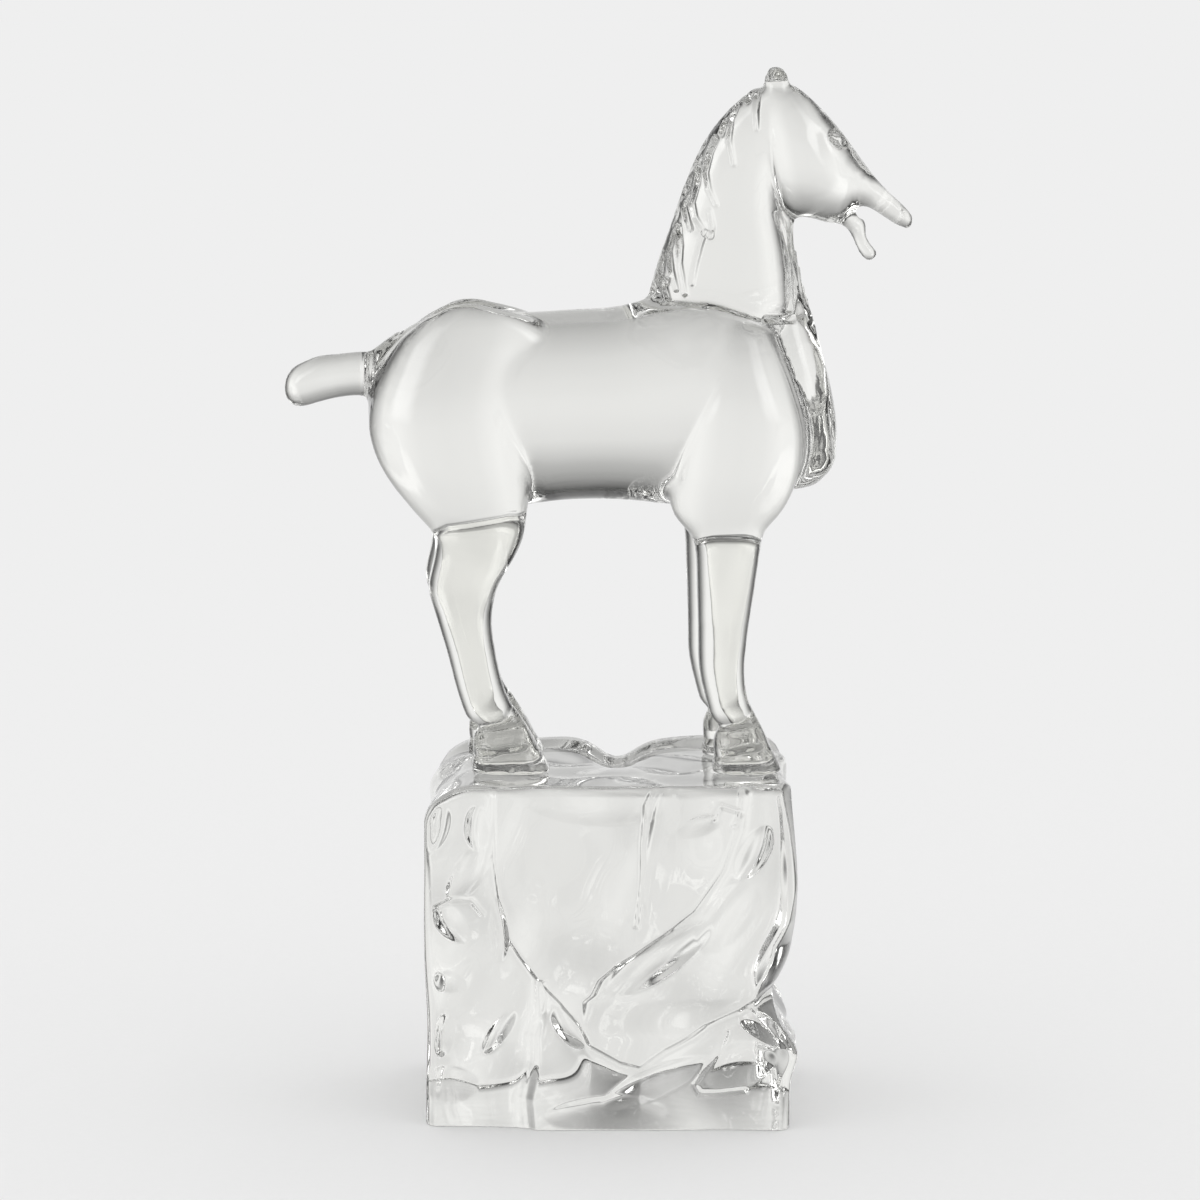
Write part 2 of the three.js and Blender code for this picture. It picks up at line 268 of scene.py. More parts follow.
hind_leg = limb("hind_leg", stouter([
    station((-26.6, 218.0), (-59.0, 215.0), 10.6, -LEG_Y, 2.4),
    station((-27.4, 209.0), (-57.6, 207.5), 10.1, -LEG_Y, 2.5),
    station((-31.0, 200.6), (-58.4, 200.6), 9.4, -LEG_Y, 2.5),
    station((-36.8, 190.7), (-60.6, 189.9), 9.0, -LEG_Y, 2.5),
    station((-39.0, 182.0), (-58.4, 182.0), 8.2, -LEG_Y, 2.5),
    station((-37.6, 165.5), (-53.6, 165.5), 7.2, -LEG_Y, 2.5),
    station((-34.0, 151.4), (-50.0, 151.4), 7.2, -LEG_Y, 2.5),
    station((-30.4, 144.0), (-46.8, 142.0), 7.4, -LEG_Y, 2.4),
], 0.9), end_dome=2.0)

fore_leg = limb("fore_leg", stouter([
    station((57.6, 217.0), (33.4, 217.0), 9.9, -LEG_Y, 2.4),
    station((56.6, 206.5), (34.4, 206.5), 9.5, -LEG_Y, 2.5),
    station((54.6, 191.4), (35.0, 191.4), 8.8, -LEG_Y, 2.5),
    station((52.0, 173.6), (35.6, 173.6), 8.0, -LEG_Y, 2.5),
    station((50.9, 159.7), (36.0, 159.7), 7.0, -LEG_Y, 2.5),
    station((52.0, 149.8), (38.4, 149.8), 7.0, -LEG_Y, 2.5),
    station((54.8, 144.0), (40.4, 142.0), 7.2, -LEG_Y, 2.4),
], 0.9), end_dome=2.0)

HIND_SHIFT, FORE_SHIFT = -2.5, -3.0
body = joined("body", [
    barrel, brisket, haunch, far_copy(haunch), shoulder, far_copy(shoulder),
    hind_leg, far_copy(hind_leg, HIND_SHIFT), fore_leg, far_copy(fore_leg, FORE_SHIFT)])
melt(body, voxel=1.3, rounds=36)

# %% [markdown]
# ## The neck and the head
# The neck is a slab with flat sides that stands on the shoulders with a crease all round, the collar.
# In front of it runs the narrow gullet, which widens downwards to the keel of the breast.
# The head is a long wedge with full cheeks that stand proud of the neck. The mouth is open: the upper
# jaw is the long nose itself, and the lower lip hangs free as a small tongue of its own.

# %% Neck, gullet and breast
neck = limb("neck", [
    station((57.0, 270.0), (17.9, 272.0), 16.5, 0, 2.7),
    station((67.8, 284.0), (17.6, 286.0), 16, 0, 2.8),
    station((67.9, 295.0), (18.4, 296.0), 15.4, 0, 2.8),
    station((66.0, 309.0), (23.5, 311.0), 14.6, 0, 2.8),
    station((63.6, 321.0), (27.4, 322.5), 13.8, 0, 2.7),
    station((63.5, 334.0), (31.0, 333.5), 13.0, 0, 2.6),
    station((67.0, 345.5), (36.4, 346.0), 12.0, 0, 2.5),
    station((71.5, 354.0), (45.8, 357.8), 10.8, 0, 2.4),
    station((75.0, 360.0), (57.0, 366.2), 9.4, 0, 2.3),
], sides=48, end_dome=1.5)

gullet = limb("gullet", [
    station((69.8, 322.0), (52.0, 323.0), 4.9, 0, 1.3),
    station((69.2, 313.2), (52.0, 314.0), 4.8, 0, 1.3),
    station((70.8, 305.3), (52.0, 306.0), 5.2, 0, 1.3),
    station((72.6, 297.0), (53.0, 298.0), 5.8, 0, 1.4),
    station((76.3, 284.2), (55.0, 286.0), 8.4, 0, 1.6),
    station((79.2, 273.0), (57.0, 275.0), 11.2, 0, 1.8),
    station((82.6, 259.4), (58.0, 261.0), 13.0),
    station((84.6, 248.0), (58.0, 249.0), 14.2),
    station((84.8, 238.8), (58.0, 239.0), 14.0),
    station((83.2, 230.6), (58.0, 230.0), 12.6),
    station((78.5, 225.6), (58.0, 224.0), 10.0),
], start_dome=1.5, end_dome=2.0)

# %% Skull, lower lip and ears
skull = limb("skull", stouter([
    station((59.5, 366.8), (55.5, 353.0), 8.6),
    station((66.3, 367.4), (58.4, 338.5), 11.6, 0, 2.1),
    station((74.8, 362.0), (66.4, 322.4), 14.2, 0, 2.2),
    station((83.3, 353.2), (76.0, 320.0), 13.4, 0, 2.2),
    station((88.5, 346.6), (84.0, 318.6), 11.0, 0, 2.1),
    station((93.6, 339.6), (89.6, 324.6), 8.8),
    station((98.4, 333.4), (94.4, 324.4), 7.0),
    station((103.2, 328.5), (99.8, 321.4), 5.6),
    station((107.9, 324.3), (105.2, 317.8), 4.6),
    station((111.0, 321.0), (109.4, 316.0), 3.4),
], 0.3), sides=48, start_dome=2, end_dome=1.4)

lower_lip = limb("lower_lip", stouter([
    station((85.0, 326.0), (78.0, 320.2), 8.0),
    station((89.4, 322.8), (84.4, 318.6), 5.6),
    station((92.2, 320.0), (88.0, 316.5), 4.2),
    station((94.9, 318.2), (89.7, 313.7), 3.5),
    station((94.2, 314.3), (90.9, 310.8), 2.9),
    station((96.0, 311.0), (92.2, 307.8), 2.8),
    station((99.0, 307.7), (94.6, 304.8), 2.8),
], 0.35), sides=28, end_dome=1.4)
head_and_neck = joined("head_and_neck", [neck, skull, lower_lip])
melt(head_and_neck, voxel=1.0, rounds=10)

ear = limb("ear", [
    station((67.4, 360.0), (57.0, 361.0), 3.4, -4.8, 1.5),
    station((67.6, 366.4), (57.8, 366.8), 3.2, -4.8, 1.5),
    station((66.6, 370.4), (58.4, 370.4), 2.9, -4.8, 1.5),
    station((65.2, 372.6), (59.6, 372.6), 2.2, -4.8, 1.6),
], sides=24, end_dome=1.2)
print("head forms:", head_and_neck.name, gullet.name, ear.name)

# %% [markdown]
# ## The hooves
# Each hoof is a form of its own: under the rounded end of the leg a steep flat collar flares out to a
# crisp rim, and below it the wall spreads to the sole. One hind and one fore hoof are modelled and then
# copied to the far side.

# %% Hooves
SOLE_Z = 123.4


def hoof(name, toe, heel, lean):
    return limb(name, [
        station((toe - 13.6 * lean, 147.0), (heel + 4.5, 141.0), 4.6, -LEG_Y, 2.6),
        station((toe - 11.0 * lean, 143.0), (heel + 2.0, 138.5), 5.2, -LEG_Y, 3.2),
        station((toe - 6.4 * lean, 135.0), (heel + 1.0, 131.6), 10.0, -LEG_Y, 3.4),
        station((toe - 5.4 * lean, 133.0), (heel + 1.3, 129.8), 9.5, -LEG_Y, 3.0),
        station((toe - 2.2 * lean, 127.6), (heel + 0.3, 126.6), 10.4, -LEG_Y, 2.6),
        station((toe, SOLE_Z), (heel, SOLE_Z), 11.2, -LEG_Y, 2.5),
    ], sides=48)


hind_hoof = hoof("hind_hoof", -16.9, -46.3, 1.0)
fore_hoof = hoof("fore_hoof", 65.4, 39.6, 0.85)
hooves = [hind_hoof, fore_hoof, far_copy(hind_hoof, HIND_SHIFT), far_copy(fore_hoof, FORE_SHIFT)]
print(len(hooves), "hooves")

# %% [markdown]
# ## The tail and the crest
# The tail is a short, thick stub that flares at its root. Along the back of the neck runs a ridge,
# the crest, from which the mane hangs.

# %% Tail and crest
tail = limb("tail", [
    station((-72.0, 280.0), (-72.0, 245.0), 12.5),
    station((-79.2, 274.6), (-79.2, 253.6), 9.8),
    station((-82.6, 272.2), (-82.6, 256.4), 8.2),
    station((-85.0, 272.4), (-85.0, 256.6), 8.3),
    station((-92.8, 271.6), (-92.4, 256.1), 7.8),
    station((-101.4, 270.6), (-99.9, 254.4), 8.0),
    station((-107.6, 268.0), (-105.4, 252.8), 7.6),
], end_dome=6.8)

CREST = [(17.6, 292.0), (20.8, 304.0), (24.4, 314.0), (28.4, 326.0),
         (33.0, 338.0), (38.6, 348.6), (46.2, 358.0), (54.6, 365.2)]
crest_ridge = limb("crest_ridge", [
    station((x - 0.4, z + 0.6), (x + 7.5, z - 3.6), 4.6) for x, z in CREST
], sides=20, start_dome=1.5, end_dome=1.5)
print("tail and crest:", tail.name, crest_ridge.name)

# %% [markdown]
# ## One casting
# All forms become one skin. Only a little smoothing follows, so that the creases at the collar, under the
# thighs, around the jowl and between the locks stay narrow. The corner of the mouth is narrower than the
# grid of the new skin, so its vertices are smoothed once more.

# %% Melt the horse together
horse = joined("horse_casting", [
    body, head_and_neck, gullet, ear, far_copy(ear), tail, crest_ridge] + hooves)
melt(horse, voxel=1.4, rounds=4)
bpy.ops.object.shade_smooth()

# %% Round the corner of the mouth
MOUTH_CORNER = (90.0, 324.0)


def soften(piece, place, radius, rounds):
    x, _, z = points_of(piece).T / MM
    only(piece)
    bpy.ops.object.mode_set(mode="EDIT")
    bpy.ops.mesh.select_mode(type="VERT")
    bpy.ops.mesh.select_all(action="DESELECT")
    bpy.ops.object.mode_set(mode="OBJECT")
    piece.data.vertices.foreach_set("select", np.hypot(x - place[0], z - place[1]) < radius)
    bpy.ops.object.mode_set(mode="EDIT")
    bpy.ops.mesh.vertices_smooth(factor=0.5, repeat=rounds)
    bpy.ops.object.mode_set(mode="OBJECT")


soften(horse, MOUTH_CORNER, radius=5.0, rounds=24)
print("corner of the mouth smoothed at", MOUTH_CORNER)

# %% [markdown]
# ## Carving
# The finer modelling is done as with a carving tool: a line is drawn on the side view, and the surface
# near it is pushed in along its own normal. The far side gets the same lines, but shallow and soft.
# A cut fades out where the surface turns away from the side or nears the middle of the horse.

# %% The carving tool
def bell(gap, width):
    return np.exp(-((gap / width) ** 2))


def vee(gap, width):
    return np.clip(1 - gap / width, 0, 1)


def line_distance(x, z, line):
    line = np.array(line, float)
    best = np.full(x.shape, np.inf)
    share = np.zeros(x.shape)
    for i in range(len(line) - 1):
        step = line[i + 1] - line[i]
        t = np.clip(((x - line[i, 0]) * step[0] + (z - line[i, 1]) * step[1]) / step.dot(step), 0, 1)
        gap = np.hypot(x - line[i, 0] - t * step[0], z - line[i, 1] - t * step[1])
        nearer = gap < best
        best = np.where(nearer, gap, best)
        share = np.where(nearer, (i + t) / (len(line) - 1), share)
    return best, share


def normals_of(piece):
    flat = np.empty(len(piece.data.vertices) * 3)
    piece.data.vertices.foreach_get("normal", flat)
    return flat.reshape(-1, 3)


FAR_SHARE, FAR_SOFTER = 0.4, 1.5
FADE_MM, FACING_FROM, FACING_OVER = 2, 0.1, 0.3


def carve(piece, line, width, depth, end_depth, y_from, profile):
    points, normals = points_of(piece), normals_of(piece)
    x, y, z = points.T / MM
    gap, share = line_distance(x, z, line)
    amount = depth + (end_depth - depth) * share
    facing = normals[:, 1]
    near = np.clip((-y - y_from) / FADE_MM, 0, 1) * np.clip((-facing - FACING_FROM) / FACING_OVER, 0, 1)
    far = np.clip((y - y_from) / FADE_MM, 0, 1) * np.clip((facing - FACING_FROM) / FACING_OVER, 0, 1)
    push = near * amount * profile(gap, width)
    push += far * FAR_SHARE * amount * bell(gap, FAR_SOFTER * width)
    set_points(piece, points - normals * push[:, None] * MM)


# %% [markdown]
# The soft lines are the folds of the body: behind the elbow, at the flank and across the cheek.
# The sharp lines are narrow cuts: under the thigh, at the tail's root, between gullet and neck, at the foot
# of the neck and between the locks of the mane. Each holds its width, its depth at both ends and how far
# from the middle of the horse it starts. The skin is made finer near them before they are cut.

# %% Lines to carve
SOFT_LINES = [
    ([(26.4, 229.0), (29.6, 239.0), (34.5, 249.5), (44.5, 268.0)], 2.4, 1.8, 0.2, 12),
    ([(-24.2, 214.0), (-23.4, 226.0), (-24.0, 232.5)], 2.2, 2.6, 0.4, 12),
    ([(-25.4, 232.0), (-29.0, 252.0), (-32.0, 264.0), (-31.0, 277.0)], 6.0, 0.9, 0.4, 12),
    ([(76.0, 349.8), (78.1, 342.8), (83.8, 336.0), (90.2, 334.3), (97.0, 330.4)], 2.6, 0.7, 0.3, 3),
]
SHARP_LINES = [
    ([(-58.0, 210.2), (-54.0, 212.6), (-44.0, 214.4), (-32.0, 216.4), (-25.0, 216.0)], 1.2, 1.5, 0.9, 20),
    ([(-84.0, 272.6), (-84.4, 256.4)], 1.0, 0.9, 0.9, 0.5),
    ([(-80.8, 274.4), (-81.2, 254.4)], 1.0, 0.8, 0.8, 0.5),
    ([(62.1, 321.7), (64.9, 314.7), (66.4, 304.0), (67.2, 287.8)], 1.3, 1.8, 1.8, 1),
    ([(58.8, 285.0), (68.0, 284.4)], 1.7, 2.6, 2.6, 1),
]
MANE_LINES = [
    [(55.3, 365.2), (55.0, 359.5), (55.2, 352.0)],
    [(47.8, 359.5), (46.0, 355.0), (45.5, 348.0), (47.2, 339.6)],
    [(44.3, 354.7), (42.9, 349.8)],
    [(40.8, 348.4), (38.7, 343.5), (37.2, 336.5), (38.4, 330.8), (40.9, 325.6)],
    [(34.9, 341.4), (34.2, 333.0), (32.3, 326.0), (33.5, 321.0), (36.3, 316.8), (39.0, 314.3)],
    [(39.0, 314.3), (39.9, 317.5), (38.8, 323.0)],
    [(31.7, 335.8), (31.0, 328.7), (29.5, 324.5), (31.8, 316.8)],
    [(36.8, 315.4), (35.4, 311.0), (33.6, 304.0), (32.5, 297.7)],
    [(27.5, 317.5), (28.2, 310.5), (28.1, 304.8), (30.0, 294.2)],
    [(25.8, 315.4), (24.0, 309.0), (25.1, 302.0), (26.9, 295.6)],
    [(22.2, 307.0), (21.2, 300.5), (24.0, 292.4)],
    [(19.1, 300.5), (21.2, 292.1)],
]
SHARP_LINES += [(line, 1.4, 2.2, 1.0, 3) for line in MANE_LINES]
NICKS = [(52.7, 362.7), (39.7, 353.3), (35.9, 346.3), (33.4, 340.7),
         (30.0, 329.4), (26.8, 314.7), (23.7, 298.4), (18.4, 294.9)]
EYE, NOSTRIL = (84.0, 348.0), (107.8, 322.6)


# %% Finer faces where the sharp lines go
def refine(piece, reach, eye_reach):
    x, y, z = np.array([face.center[:] for face in piece.data.polygons]).T / MM
    chosen = np.zeros(len(x), bool)
    for line, _, _, _, y_from in SHARP_LINES:
        chosen |= (line_distance(x, z, line)[0] < reach) & (y < -y_from)
    for place, radius in [(EYE, eye_reach), (NOSTRIL, reach + 1)] + [(nick, reach + 1) for nick in NICKS]:
        chosen |= (np.hypot(x - place[0], z - place[1]) < radius) & (y < -3)
    only(piece)
    bpy.ops.object.mode_set(mode="EDIT")
    bpy.ops.mesh.select_mode(type="FACE")
    bpy.ops.mesh.select_all(action="DESELECT")
    bpy.ops.object.mode_set(mode="OBJECT")
    piece.data.polygons.foreach_set("select", chosen)
    bpy.ops.object.mode_set(mode="EDIT")
    bpy.ops.mesh.subdivide(number_cuts=1, smoothness=0.7)
    bpy.ops.object.mode_set(mode="OBJECT")


def triangles(piece):
    return sum(len(face.vertices) - 2 for face in piece.data.polygons)


for line, width, depth, end_depth, y_from in SOFT_LINES:
    carve(horse, line, width, depth, end_depth, y_from, bell)
print("horse has", triangles(horse), "triangles before refining")
refine(horse, reach=2.6, eye_reach=6.4)
refine(horse, reach=1.8, eye_reach=5.8)
refine(horse, reach=0.0, eye_reach=5.2)
for line, width, depth, end_depth, y_from in SHARP_LINES:
    carve(horse, line, width, depth, end_depth, y_from, vee)
print("horse has", triangles(horse), "triangles")

# %% [markdown]
# ## The eye and the nostril
# The eye is an almond about seven millimetres long: a ring-shaped groove with a swelling inside.
# The same tool presses the nostril and the small nicks along the crest, where the locks part.

# %% Eye, nostril and nicks
def almond(piece, centre, length, height, tilt, groove, swelling):
    points, normals = points_of(piece), normals_of(piece)
    x, y, z = points.T / MM
    dx, dz = x - centre[0], z - centre[1]
    along = (dx * cos(tilt) + dz * sin(tilt)) / length
    across = (dz * cos(tilt) - dx * sin(tilt)) / height
    ring = np.hypot(along, across)
    gap = (ring - 1) * np.hypot(dx, dz) / np.maximum(ring, 0.1)
    shape = groove * bell(gap, 0.6) - swelling * bell(ring, 0.6)
    push = np.where(y < -1.5, shape, np.where(y > 1.5, FAR_SHARE * shape, 0.0))
    set_points(piece, points - normals * push[:, None] * MM)


almond(horse, EYE, 3.6, 2.0, radians(-45), groove=1.8, swelling=1.8)
almond(horse, NOSTRIL, 1.6, 0.9, radians(-48), groove=0.2, swelling=-1.0)
for nick in NICKS:
    almond(horse, nick, 3.0, 1.4, radians(62), groove=0.0, swelling=-2.0)
print("eye at", EYE, "nostril at", NOSTRIL, "and", len(NICKS), "nicks")

# %% [markdown]
# ## The rock
# The plinth is a block with a broken face: a shield-shaped facet in the middle, a wing facet with a flute
# to its lower right, a rough strip on the left and a step along the foot. A cube is cut into a fine grid,
# its edges are rounded, and each face is then pushed in by a depth that depends on its place. The sides
# and the top get a finer grid than the back, and the front the finest, because its edges are crisp.

# %% Grid for the rock
ROCK_LEFT, ROCK_RIGHT, ROCK_HALF, ROCK_TOP = -62.0, 67.4, 53.0, 123.1
ROCK_CORNER = np.array([4.0, 5.0, 4.0])

bpy.ops.object.select_all(action="DESELECT")
bpy.ops.mesh.primitive_cube_add(size=1, location=(0, 0, 0))
rock = bpy.context.object
rock.name = "rock_casting"
bpy.ops.object.mode_set(mode="EDIT")
bpy.ops.mesh.subdivide(number_cuts=55)
bpy.ops.mesh.select_mode(type="FACE")
for rear_limit in [0.5, -0.5]:
    bpy.ops.mesh.select_all(action="DESELECT")
    bpy.ops.object.mode_set(mode="OBJECT")
    rock.data.polygons.foreach_set("select", [
        face.normal.y < rear_limit and face.normal.z > -0.5 for face in rock.data.polygons])
    bpy.ops.object.mode_set(mode="EDIT")
    bpy.ops.mesh.subdivide(number_cuts=1)
bpy.ops.object.mode_set(mode="OBJECT")
print("rock grid has", len(rock.data.polygons), "faces")

# %% [markdown]
# The lines of the front face are given by height, or by place along the face, in millimetres.

# %% Facets of the front face
SHIELD_LEFT = np.array([(0.0, -24.7), (11.0, -25.7), (24.5, -22.9), (33.5, -22.9), (42.5, -19.6),
                        (53.1, -20.3), (62.1, -27.3), (69.3, -31.7), (78.8, -34.4), (98.1, -37.0),
                        (124.6, -36.4)])
SHIELD_RIGHT = np.array([(46.4, -6.3), (48.6, -3.5), (54.0, -0.9), (59.4, 5.3), (63.5, 12.3), (70.2, 21.2),
                         (79.2, 31.7), (93.6, 41.4), (108.0, 46.7), (130.0, 50.0)])
WING_FOOT = np.array([(-20.3, 53.0), (-14.1, 46.8), (-7.0, 37.8), (-3.5, 31.0), (7.0, 25.0), (14.1, 23.2),
                      (22.9, 29.9), (38.8, 38.2), (53.6, 43.2), (66.0, 50.0)])
RIGHT_EDGE = np.array([(36.0, 64.0), (42.0, 59.5), (51.5, 59.4), (64.8, 60.7), (73.8, 64.6), (87.5, 67.0),
                       (108.0, 65.6), (124.0, 63.0)])


def rise(value, width):
    t = np.clip(value / width + 0.5, 0, 1)
    return t * t * (3 - 2 * t)


def follow(table, value):
    return np.interp(value, table[:, 0], table[:, 1])


def ledge(gap, run):
    return 1 - np.exp(-np.maximum(gap, 0) / run)


def undercut(gap, run):
    share = np.maximum(gap, 0) / run
    return share * np.exp(1 - share)


def front_cut(x, z):
    left_gap = follow(SHIELD_LEFT, z) - x
    right_gap = (x - follow(SHIELD_RIGHT, z)) * 0.75
    foot_gap = (follow(WING_FOOT, x) - z) * 0.85
    cut = 1.0 + 0.0009 * np.minimum((x - 4) ** 2 + (z - 98) ** 2, 1500)
    cut += 3.4 * ledge(left_gap, 1.5) * (1 - 0.6 * rise(z - 106, 16)) + 0.07 * np.maximum(left_gap, 0)
    cut += 4.4 * ledge(right_gap, 1.5) * rise(z - 40, 14)
    cut += 4.2 * undercut(foot_gap, 3.8) * rise(x + 20, 3)
    cut += 1.8 * np.maximum(x - follow(RIGHT_EDGE, z), 0) * rise(z - 40, 8)
    return cut + front_marks(x, z)


# %% [markdown]
# The smaller marks are scoops, where a flake came off and left a rim that is steeper on one side, and
# grooves, where two flakes meet. A scoop has a depth, a centre, a tilt, a half-length and a half-width;
# a groove has a depth, a half-width and a line.

# %% Scoops and grooves of the front face
SCOOPS = [
    (5.0, (52.5, 99.0), 242, 11.5, 4.6), (4.6, (19.5, 16.5), 24, 21, 5.4),
    (4.2, (-43.2, 108.5), 90, 8.5, 4.0), (4.2, (-52.0, 74.5), 125, 9.0, 4.6),
    (3.8, (-35.8, 71.5), -87, 12.5, 3.6), (2.0, (-53.3, 52.2), -10, 5.6, 4.0),
    (3.2, (-36.0, 34.4), 55, 9.8, 3.4), (2.8, (-53.5, 15.5), -4, 10.0, 7.0),
    (4.0, (60.0, 36.0), -35, 9.0, 5.4), (3.4, (-10.5, 36.5), 130, 9.0, 4.6),
    (2.4, (34.0, 109.5), 20, 8.0, 3.8), (3.0, (-57.5, 112.0), 260, 9.0, 5.0),
    (2.6, (48.0, 23.0), 20, 12.0, 8.0), (2.4, (44.0, 76.0), 55, 15.0, 8.0),
    (5.0, (20.5, 61.0), 35, 22.0, 6.8), (3.4, (21.0, 100.0), 82, 26.0, 5.4),
    (3.0, (-46.5, 92.0), 238, 12.0, 6.0), (2.2, (2.0, 6.0), 3, 22.0, 6.0),
    (1.8, (-2.0, 118.0), 176, 26.0, 8.0), (3.0, (21.5, 60.0), 215, 20.0, 6.0),
    (2.8, (-55.5, 33.0), 80, 8.0, 3.6),
]
GROOVES = [
    (1.6, 1.2, [(19.4, 124.0), (16.2, 117.0), (15.0, 102.6), (14.5, 86.4), (12.7, 73.8)]),
    (1.3, 1.2, [(45.9, 35.3), (38.8, 25.2), (33.2, 16.2), (35.3, 13.0), (40.6, 13.0), (51.1, 14.4)]),
    (2.0, 1.8, SHIELD_LEFT[:6, ::-1]),
    (1.4, 1.4, [(-57.5, 81.0), (-52.0, 82.5), (-45.0, 82.0), (-41.0, 77.0)]),
    (1.2, 1.2, [(38.8, 112.0), (42.0, 117.0), (49.0, 114.5), (46.5, 110.0)]),
]


def scoop(x, z, centre, tilt, length, width):
    along = ((x - centre[0]) * cos(tilt) + (z - centre[1]) * sin(tilt)) / length
    across = ((z - centre[1]) * cos(tilt) - (x - centre[0]) * sin(tilt)) / width
    return np.clip(1 - np.hypot(along, across) ** 2.5, 0, 1) * (0.6 + 0.4 * np.clip(across, -1, 1))


def front_marks(x, z):
    marks = 0.6 * np.sin(x / 9 + z / 17) * np.sin(z / 12 - x / 21)
    for depth, centre, tilt, length, width in SCOOPS:
        marks += depth * scoop(x, z, centre, radians(tilt), length, width)
    for depth, width, line in GROOVES:
        marks += depth * vee(line_distance(x, z, line)[0], width)
    return marks


# %% [markdown]
# Each face is moved by its own depths, and the push fades out towards the core of the block, so the rounded
# edges move along with their faces. The back and the sides get plain waves in keeping with the front.

# %% Shape the rock
CORE_X, CORE_Y, CORE_Z = 20, 12, 60


def rock_shape(grid):
    span = np.array([ROCK_RIGHT - ROCK_LEFT, 2 * ROCK_HALF, ROCK_TOP])
    start = np.array([ROCK_LEFT, -ROCK_HALF, 0.0])
    points = (grid + 0.5) * span + start
    low = start + ROCK_CORNER
    low[2] = -np.inf
    high = start + span - ROCK_CORNER
    inner = np.clip(points, low, high)
    offset = (points - inner) / ROCK_CORNER
    length = np.linalg.norm(offset, axis=1, keepdims=True)
    facing = np.where(length > 1e-6, offset / np.maximum(length, 1e-6), 0.0)
    points = inner + facing * np.abs(offset).max(axis=1, keepdims=True) * ROCK_CORNER
    x, y, z = points.T.copy()
    to_right = np.clip((inner[:, 0] - CORE_X) / (high[0] - CORE_X), 0, 1)
    to_left = np.clip((-CORE_X - inner[:, 0]) / (-CORE_X - low[0]), 0, 1)
    to_front = np.clip((-CORE_Y - inner[:, 1]) / (-CORE_Y - low[1]), 0, 1)
    to_back = np.clip((inner[:, 1] - CORE_Y) / (high[1] - CORE_Y), 0, 1)
    to_top = np.clip((inner[:, 2] - CORE_Z) / (high[2] - CORE_Z), 0, 1)
    right = 2.6 * bell(z - 86, 26) - 5.6 * bell(z - 44, 11) + 3.2 * bell(z - 27, 7)
    left = 0.5 * bell(z - 70, 40) - 0.8 * bell(z - 36, 16)
    back = 6.0 + 3.2 * np.sin(x / 8 - z / 19) + 2.4 * np.sin(z / 9.5 + x / 22 + 1.3)
    flakes = 1.5 + 1.1 * np.sin(y / 7 + z / 16) + 0.9 * np.sin(z / 10 - y / 13 + 0.7)
    flakes *= rise(y + 34, 24)
    lip = 2.4 * rise(y - 37, 10) - 6.5 * bell(x - 6, 9) * rise(y - 10, 60)
    shoulder_drop = 0.028 * np.maximum(-44 - x, 0) ** 2
    points[:, 0] += to_right * (right - flakes) - to_left * (left - flakes)
    points[:, 1] += to_front * front_cut(x, z) - to_back * back
    points[:, 2] += to_top * (lip - shoulder_drop)
    return points


set_points(rock, rock_shape(points_of(rock)) * MM)
face_outward(rock)
apply_modifier(rock, "SMOOTH", factor=0.5, iterations=2)
ground = points_of(rock)
ground[:, 2] = np.maximum(ground[:, 2], 0.0)
set_points(rock, ground)
only(rock)
bpy.ops.object.shade_smooth()
print("rock has", triangles(rock), "triangles")

# %% [markdown]
# ## The clear resin
# Clear casting resin bends light a little less than lead glass. Its polished skin is nearly a mirror, with
# a very faint waviness from hand polishing. The soles of the hooves are frosted where they were ground, so
# the roughness grows below a height. The rock is polished all over, so its height lies under the floor.

# %% Nodes
def linear(hex_code):
    srgb = [int(hex_code[i:i + 2], 16) / 255 for i in (1, 3, 5)]
    return [c / 12.92 if c <= 0.04045 else ((c + 0.055) / 1.055) ** 2.4 for c in srgb] + [1.0]


def add(tree, kind, settings=None, values=None, links=None):
    node = tree.nodes.new(kind)
    for key, value in (settings or {}).items():
        setattr(node, key, value)
    for key, value in (values or {}).items():
        node.inputs[key].default_value = value
    for key, socket in (links or {}).items():
        tree.links.new(socket, node.inputs[key])
    return node


def fresh(owner):
    owner.use_nodes = True
    owner.node_tree.nodes.clear()
    return owner.node_tree


# %% Clear cast resin
def clear_resin(name, tint, wave_mm, wave_height, ground_z):
    material = bpy.data.materials.new(name)
    tree = fresh(material)
    place = add(tree, "ShaderNodeTexCoord")
    waves = add(tree, "ShaderNodeTexNoise", {"noise_dimensions": "3D"},
                {"Scale": 1 / (wave_mm * MM), "Detail": 1.0}, {"Vector": place.outputs["Object"]})
    bump = add(tree, "ShaderNodeBump", None, {"Strength": 1.0, "Distance": wave_height * MM},
               {"Height": waves.outputs["Fac"]})
    gloss = add(tree, "ShaderNodeMapRange", None,
                {"From Min": 0.3, "From Max": 0.7, "To Min": 0.0, "To Max": 0.02},
                {"Value": waves.outputs["Fac"]})
    height = add(tree, "ShaderNodeSeparateXYZ", None, None, {"Vector": place.outputs["Object"]})
    ground = add(tree, "ShaderNodeMapRange", None,
                 {"From Min": (ground_z + 0.8) * MM, "From Max": ground_z * MM, "To Max": 0.4},
                 {"Value": height.outputs["Z"]})
    rough = add(tree, "ShaderNodeMath", {"operation": "MAXIMUM"}, None,
                {0: gloss.outputs["Result"], 1: ground.outputs["Result"]})
    shader = add(tree, "ShaderNodeBsdfPrincipled", None,
                 {"Base Color": linear(tint), "Metallic": 0.0, "IOR": 1.5, "Transmission Weight": 1.0},
                 {"Roughness": rough.outputs[0], "Normal": bump.outputs["Normal"]})
    add(tree, "ShaderNodeOutputMaterial", None, None, {"Surface": shader.outputs["BSDF"]})
    return material


